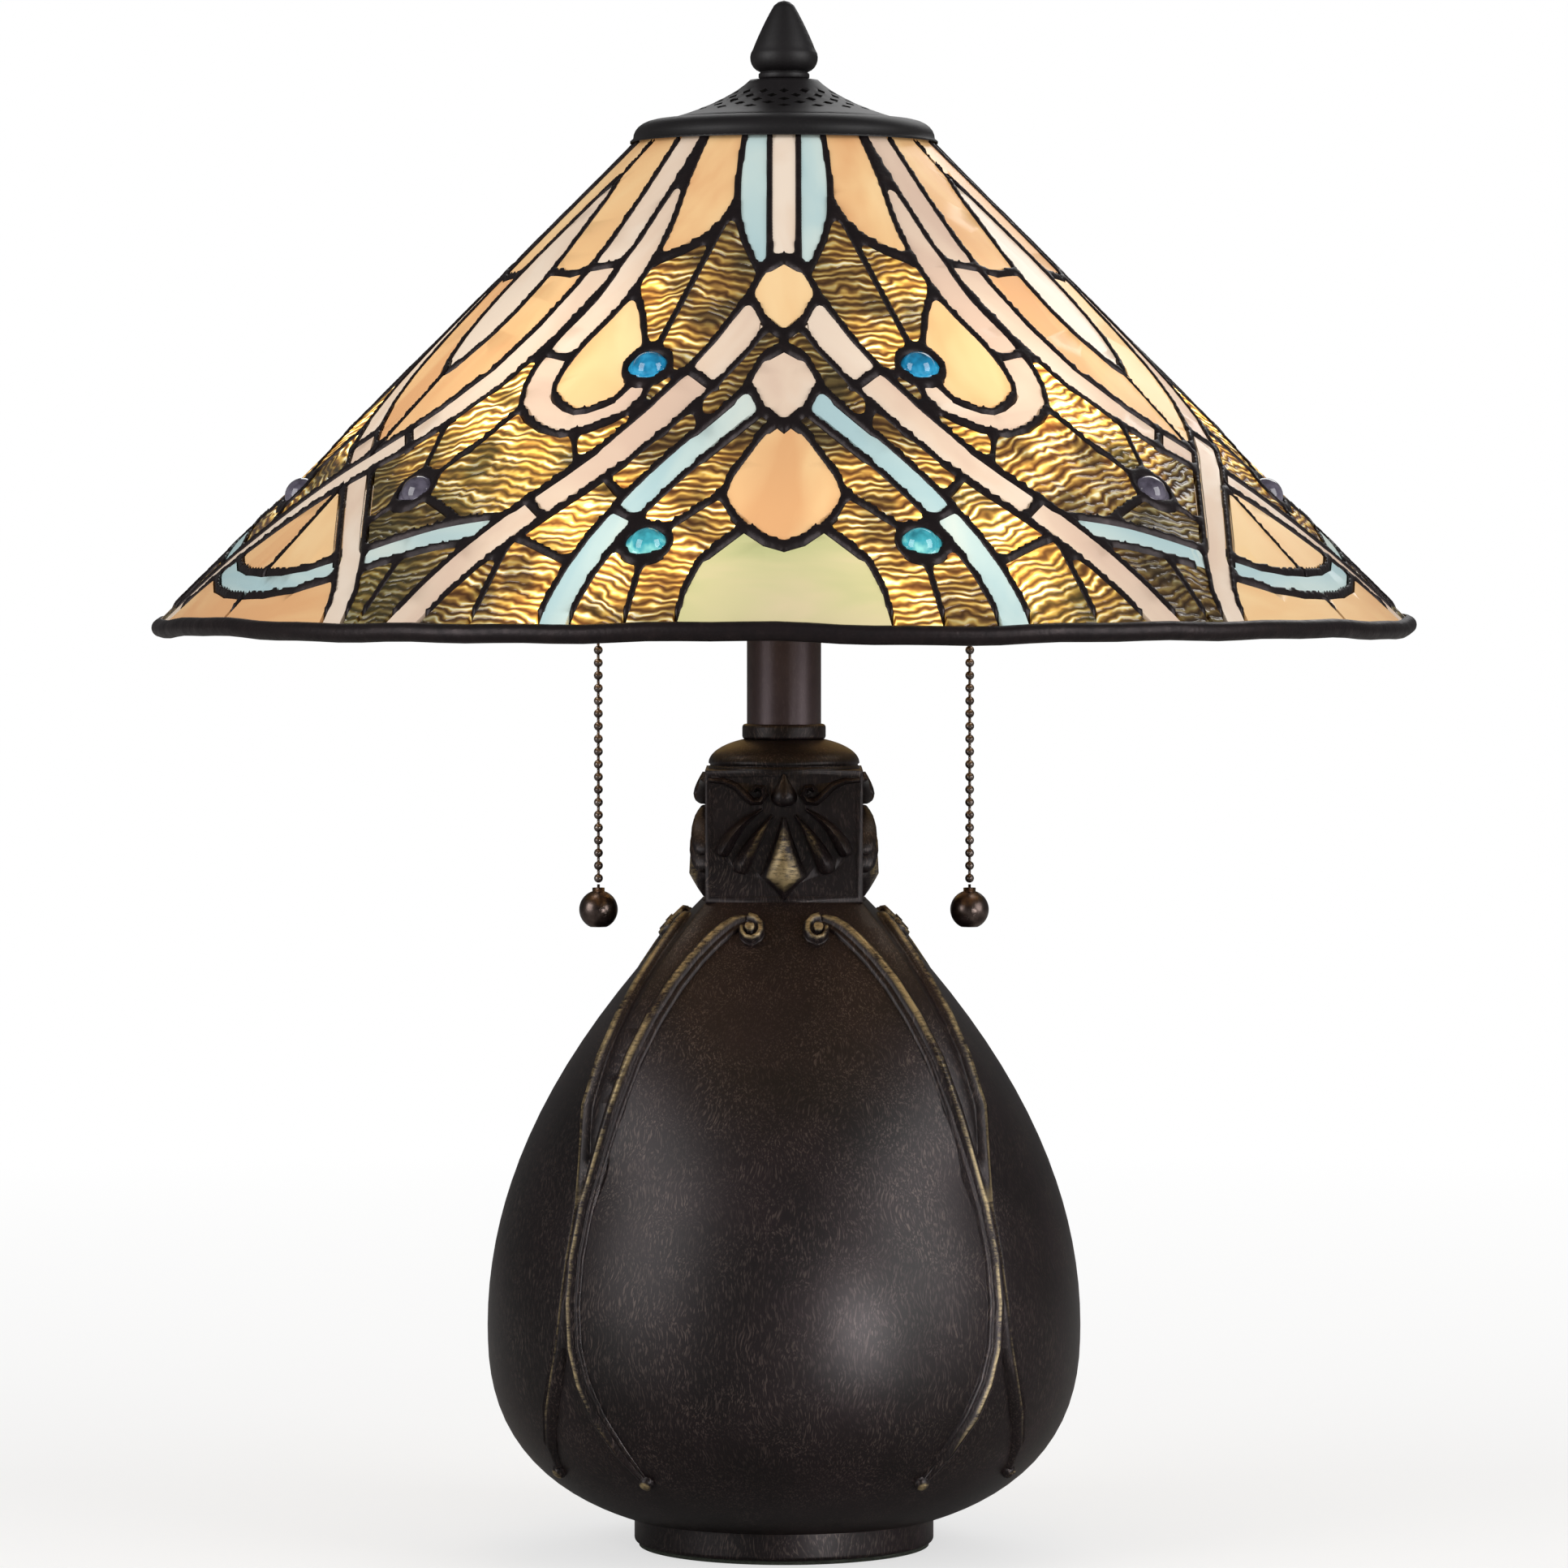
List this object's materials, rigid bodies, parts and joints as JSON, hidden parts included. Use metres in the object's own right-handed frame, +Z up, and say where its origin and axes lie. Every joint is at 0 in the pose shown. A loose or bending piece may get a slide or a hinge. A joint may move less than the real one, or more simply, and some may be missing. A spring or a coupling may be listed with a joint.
{
  "type": "table lamp",
  "caption": "Table lamp with a leaded art-glass cone shade, pierced heat cap, pull chains and a cast urn base.",
  "frame": {"origin": "middle of the underside of the felt pad, on the table", "axes": "+Z up along the lamp's axis, -Y towards the front, +X to the right seen from the front"},
  "size_m": [0.4069, 0.407, 0.499],
  "materials": {
    "felt": "felt",
    "base_bronze": "satin",
    "column_bronze": "satin",
    "cap_bronze": "matt",
    "rubber": "matt",
    "iron": "rough",
    "brass": "satin",
    "zinc_steel": "satin",
    "socket_brass": "satin",
    "phenolic": "matt",
    "screw_brass": "satin",
    "bulb_cap": "satin",
    "bulb_glass": "frosted",
    "chain_bronze": "polished",
    "lead": "satin",
    "glass_ripple": "rippled",
    "glass_peach": "opalescent",
    "glass_cream": "opalescent",
    "glass_aqua": "opalescent",
    "glass_green": "opalescent",
    "jewel_blue": "clear",
    "jewel_teal": "clear",
    "jewel_violet": "clear"
  },
  "bodies": {
    "lamp": {"felt_pad": "felt", "base_foot": "base_bronze", "vase_body": "base_bronze", "neck_block": "base_bronze", "neck_dome": "base_bronze", "column_collar": "base_bronze", "column_tube": "column_bronze", "heat_cap": "cap_bronze", "cord_grommet": "rubber", "ballast_weight": "iron", "lamp_pipe": "brass", "riser_rod": "brass", "cluster_nipples": "brass", "cluster_body": "brass", "shade_spider": "brass", "bottom_washer": "zinc_steel", "bottom_nut": "zinc_steel", "cluster_nut": "zinc_steel", "spider_nut": "zinc_steel", "socket_cap_left": "socket_brass", "socket_shell_left": "socket_brass", "chain_guide_left": "socket_brass", "switch_body_left": "phenolic", "screw_shell_left": "screw_brass", "bulb_base_left": "bulb_cap", "bulb_glass_left": "bulb_glass", "socket_cap_right": "socket_brass", "socket_shell_right": "socket_brass", "chain_guide_right": "socket_brass", "switch_body_right": "phenolic", "screw_shell_right": "screw_brass", "bulb_base_right": "bulb_cap", "bulb_glass_right": "bulb_glass", "shade_top_band": "lead", "shade_rim_band": "lead", "lead_front": "lead", "lead_rear_left": "lead", "lead_rear_right": "lead", "glass_ripple": "glass_ripple", "glass_peach": "glass_peach", "glass_cream": "glass_cream", "glass_aqua": "glass_aqua", "glass_green": "glass_green", "jewels_blue": "jewel_blue", "jewels_teal": "jewel_teal", "jewels_violet": "jewel_violet"},
    "pull_lever_left": {"pull_lever_left": "chain_bronze"},
    "pull_chain_left": {"pull_chain_left": "chain_bronze"},
    "ball_pull_left": {"ball_pull_left": "chain_bronze"},
    "pull_lever_right": {"pull_lever_right": "chain_bronze"},
    "pull_chain_right": {"pull_chain_right": "chain_bronze"},
    "ball_pull_right": {"ball_pull_right": "chain_bronze"},
    "finial": {"finial": "cap_bronze"}
  },
  "joints": [
    {"name": "pull_lever_slide_left", "type": "slide", "parent": "lamp", "child": "pull_lever_left", "axis": [0, 0, -1], "range_m": [0, 0.008], "stiffness_N_per_m": 400, "springref_m": -0.003},
    {"name": "pull_chain_swing_left", "type": "hinge", "parent": "pull_lever_left", "child": "pull_chain_left", "pos_m": [-0.06, 0, 0.29652], "axis": [0, 1, 0], "range_deg": [-7, 25]},
    {"name": "ball_pull_swing_left", "type": "hinge", "parent": "pull_chain_left", "child": "ball_pull_left", "pos_m": [-0.06, 0, 0.21445], "axis": [1, 0, 0], "range_deg": [-20, 20]},
    {"name": "pull_lever_slide_right", "type": "slide", "parent": "lamp", "child": "pull_lever_right", "axis": [0, 0, -1], "range_m": [0, 0.008], "stiffness_N_per_m": 400, "springref_m": -0.003},
    {"name": "pull_chain_swing_right", "type": "hinge", "parent": "pull_lever_right", "child": "pull_chain_right", "pos_m": [0.06, 0, 0.29652], "axis": [0, 1, 0], "range_deg": [-25, 7]},
    {"name": "ball_pull_swing_right", "type": "hinge", "parent": "pull_chain_right", "child": "ball_pull_right", "pos_m": [0.06, 0, 0.21445], "axis": [1, 0, 0], "range_deg": [-20, 20]},
    {"name": "finial_turn", "type": "hinge", "parent": "lamp", "child": "finial", "pos_m": [0, 0, 0.47342], "axis": [0, 0, 1], "continuous": true}
  ]
}
